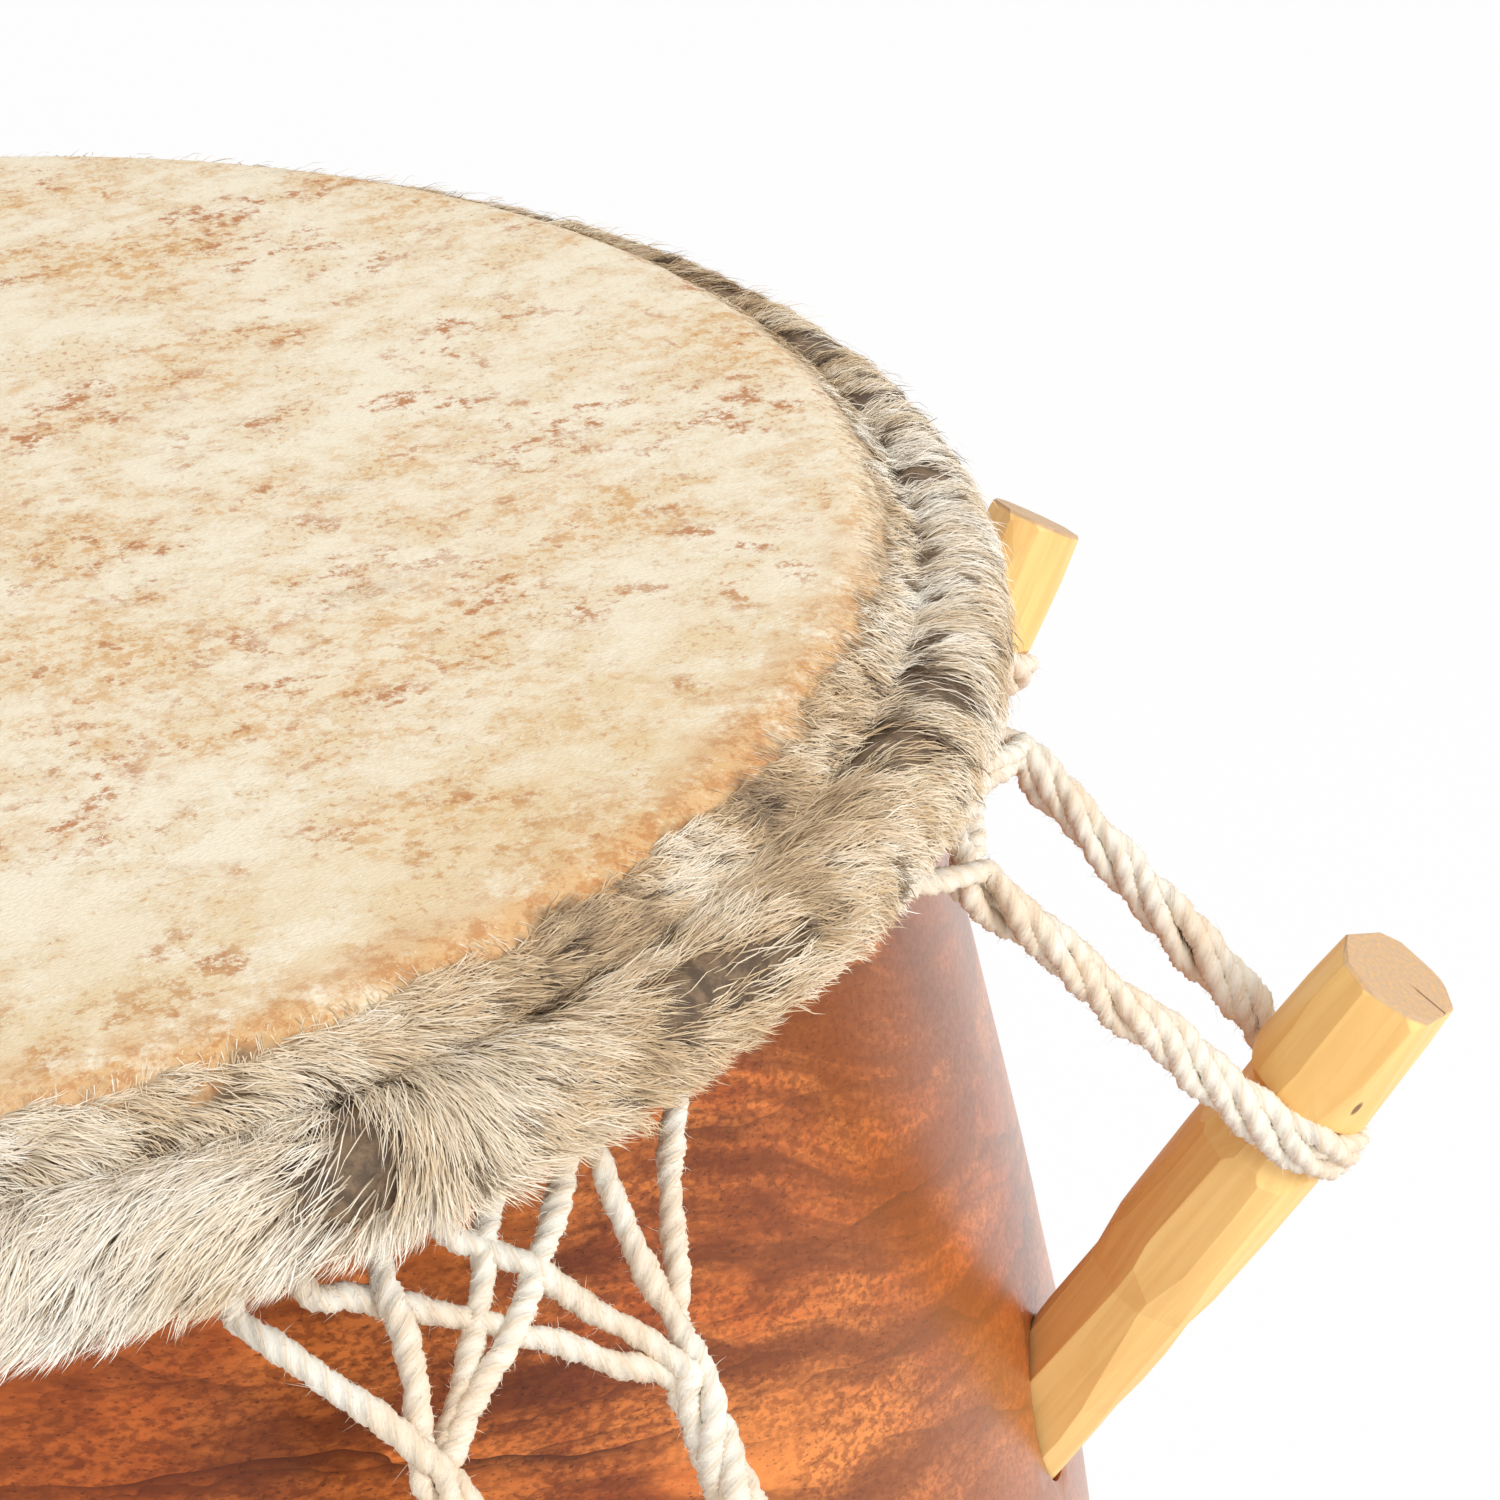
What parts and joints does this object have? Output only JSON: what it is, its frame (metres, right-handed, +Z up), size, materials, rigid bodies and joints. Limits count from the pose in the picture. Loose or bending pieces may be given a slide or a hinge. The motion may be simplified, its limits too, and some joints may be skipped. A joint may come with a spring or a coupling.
{
  "type": "kpanlogo drum",
  "caption": "Tall barrel hand drum: open-footed wooden shell, fur-edged goat skin over a hoop, cord lacing looped round slanting wooden tuning pegs that drive in and ease out.",
  "frame": {"origin": "centre of the open foot, on the floor the drum stands on", "axes": "+Z up along the drum's axis, with the playing head facing +Z; pegs stand at even eighths of a turn, half a step off +X"},
  "size_m": [0.3822, 0.3808, 0.68],
  "materials": {
    "shell_wood": "satin red-brown lacquer over streaked hardwood",
    "goat_skin": "shaved cream skin with tan specks, short beige and brown fur on the hem",
    "hoop_cane": "bare bent cane",
    "peg_wood": "knife-whittled pale wood, bare",
    "cotton_cord": "off-white laid cotton cord"
  },
  "bodies": {
    "drum": {"shell": "shell_wood", "drumhead": "goat_skin", "hoop": "hoop_cane", "lacing_1": "cotton_cord", "lacing_2": "cotton_cord", "lacing_3": "cotton_cord", "lacing_4": "cotton_cord", "lacing_5": "cotton_cord", "lacing_6": "cotton_cord", "lacing_7": "cotton_cord", "lacing_8": "cotton_cord"},
    "peg_body_1": {"peg_1": "peg_wood"},
    "peg_body_2": {"peg_2": "peg_wood"},
    "peg_body_3": {"peg_3": "peg_wood"},
    "peg_body_4": {"peg_4": "peg_wood"},
    "peg_body_5": {"peg_5": "peg_wood"},
    "peg_body_6": {"peg_6": "peg_wood"},
    "peg_body_7": {"peg_7": "peg_wood"},
    "peg_body_8": {"peg_8": "peg_wood"}
  },
  "joints": [
    {"name": "peg_1_drive", "type": "slide", "parent": "drum", "child": "peg_body_1", "axis": [0.2298, -0.4775, 0.848], "range_m": [-0.01, 0.015], "deforming": ["lacing_1"]},
    {"name": "peg_2_drive", "type": "slide", "parent": "drum", "child": "peg_body_2", "axis": [0.4896, -0.2028, 0.848], "range_m": [-0.01, 0.015], "deforming": ["lacing_2"]},
    {"name": "peg_3_drive", "type": "slide", "parent": "drum", "child": "peg_body_3", "axis": [0.493, 0.1942, 0.848], "range_m": [-0.01, 0.015], "deforming": ["lacing_3"]},
    {"name": "peg_4_drive", "type": "slide", "parent": "drum", "child": "peg_body_4", "axis": [0.1925, 0.4937, 0.848], "range_m": [-0.01, 0.015], "deforming": ["lacing_4"]},
    {"name": "peg_5_drive", "type": "slide", "parent": "drum", "child": "peg_body_5", "axis": [-0.2298, 0.4775, 0.848], "range_m": [-0.01, 0.015], "deforming": ["lacing_5"]},
    {"name": "peg_6_drive", "type": "slide", "parent": "drum", "child": "peg_body_6", "axis": [-0.4896, 0.2028, 0.848], "range_m": [-0.01, 0.015], "deforming": ["lacing_6"]},
    {"name": "peg_7_drive", "type": "slide", "parent": "drum", "child": "peg_body_7", "axis": [-0.493, -0.1942, 0.848], "range_m": [-0.01, 0.015], "deforming": ["lacing_7"]},
    {"name": "peg_8_drive", "type": "slide", "parent": "drum", "child": "peg_body_8", "axis": [-0.1925, -0.4937, 0.848], "range_m": [-0.01, 0.015], "deforming": ["lacing_8"]}
  ]
}
